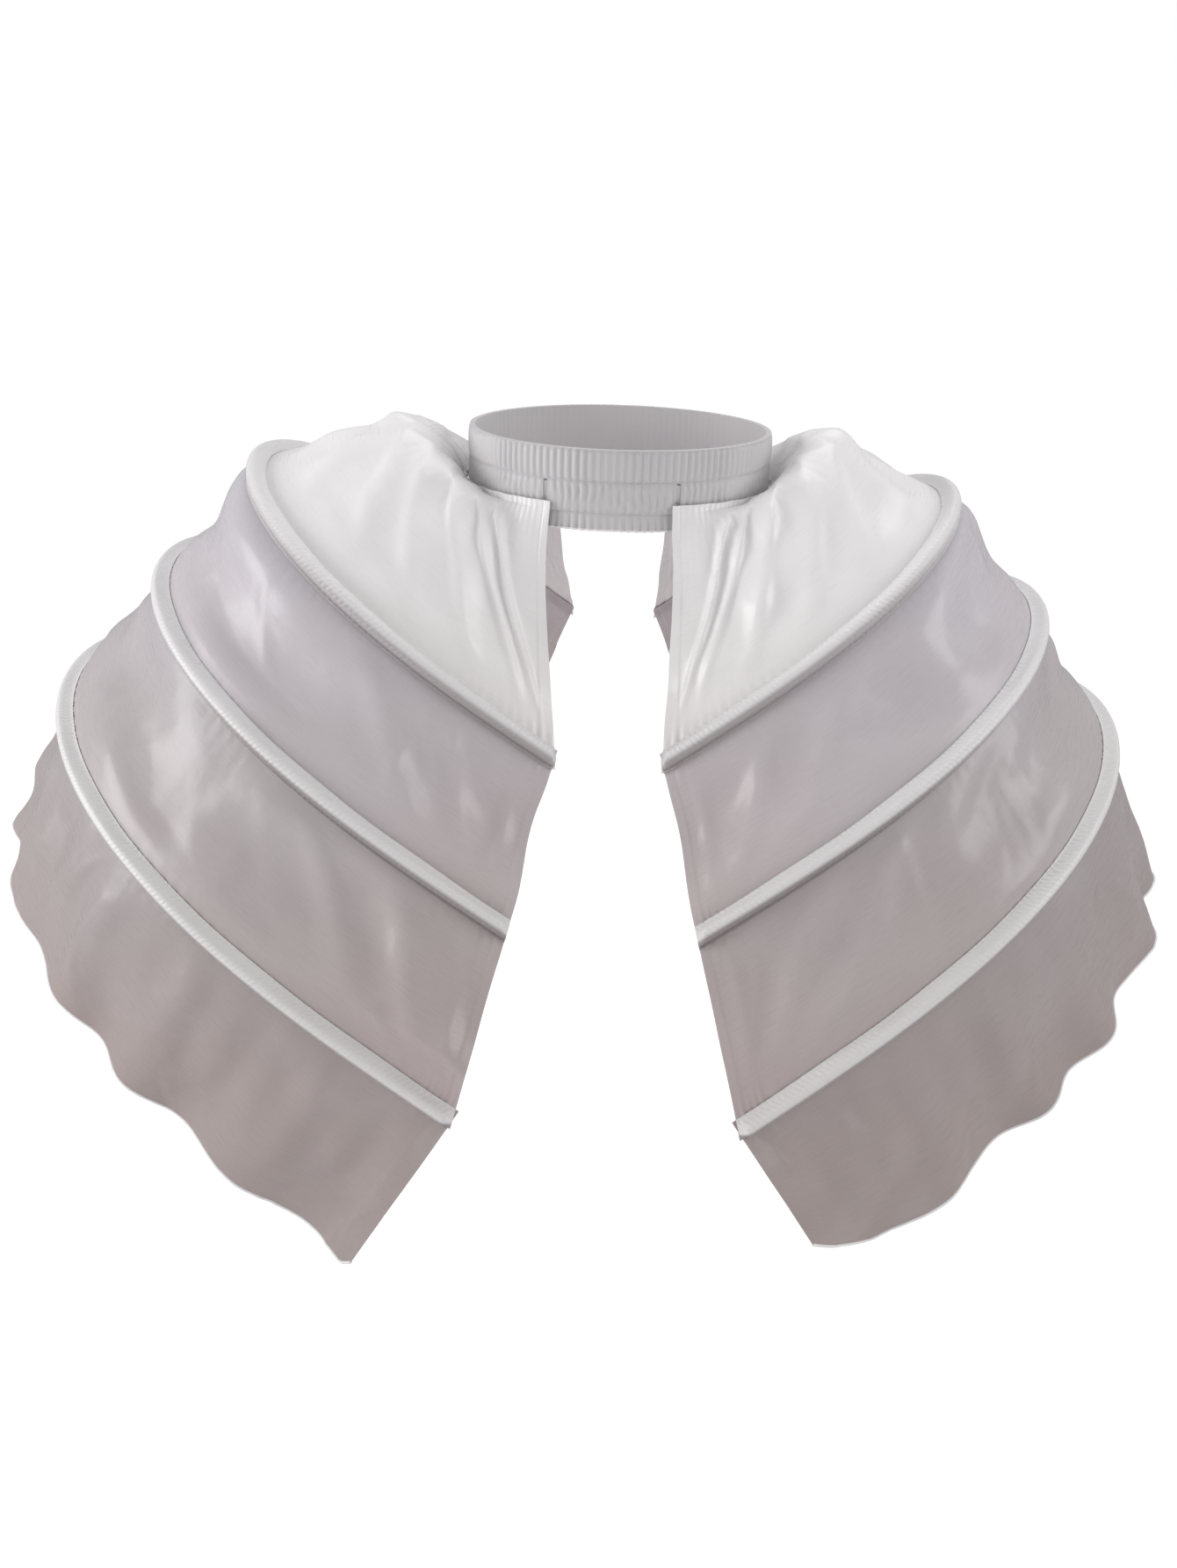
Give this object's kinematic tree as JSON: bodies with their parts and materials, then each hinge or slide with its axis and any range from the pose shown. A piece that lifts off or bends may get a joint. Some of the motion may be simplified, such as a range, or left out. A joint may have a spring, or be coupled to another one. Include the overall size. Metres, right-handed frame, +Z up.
{
  "type": "crinoline cage",
  "caption": "Side-pannier crinoline: a shirred elastic waistband carrying separate gathered and tiered wings, each held out by hoops in stitched casings above a free flounce.",
  "frame": {"origin": "middle of the waist opening, level with the top edge of the waistband", "axes": "+Z up through the waist opening, -Y to the wearer's front, +X to the wearer's left"},
  "size_m": [1.0175, 0.717, 0.5645],
  "materials": {
    "taffeta": "thin plain weave with a soft sheen",
    "casing_tape": "plain weave, folded double and topstitched",
    "band_cloth": "shirred plain weave with an overlocked edge",
    "elastic": "matt braided elastic",
    "hoop": "smooth drawn rod",
    "hoop_tip": "moulded cap"
  },
  "bodies": {
    "root": {"waistband_casing": "band_cloth", "waist_elastic_upper": "elastic", "waist_elastic_lower": "elastic", "left_yoke": "taffeta", "left_second_tier": "taffeta", "left_third_tier": "taffeta", "left_hem_flounce": "taffeta", "left_upper_casing": "casing_tape", "left_upper_hoop": "hoop", "left_upper_hoop_tips": "hoop_tip", "left_middle_casing": "casing_tape", "left_middle_hoop": "hoop", "left_middle_hoop_tips": "hoop_tip", "left_lower_casing": "casing_tape", "left_lower_hoop": "hoop", "left_lower_hoop_tips": "hoop_tip", "right_yoke": "taffeta", "right_second_tier": "taffeta", "right_third_tier": "taffeta", "right_hem_flounce": "taffeta", "right_upper_casing": "casing_tape", "right_upper_hoop": "hoop", "right_upper_hoop_tips": "hoop_tip", "right_middle_casing": "casing_tape", "right_middle_hoop": "hoop", "right_middle_hoop_tips": "hoop_tip", "right_lower_casing": "casing_tape", "right_lower_hoop": "hoop", "right_lower_hoop_tips": "hoop_tip"}
  },
  "joints": []
}
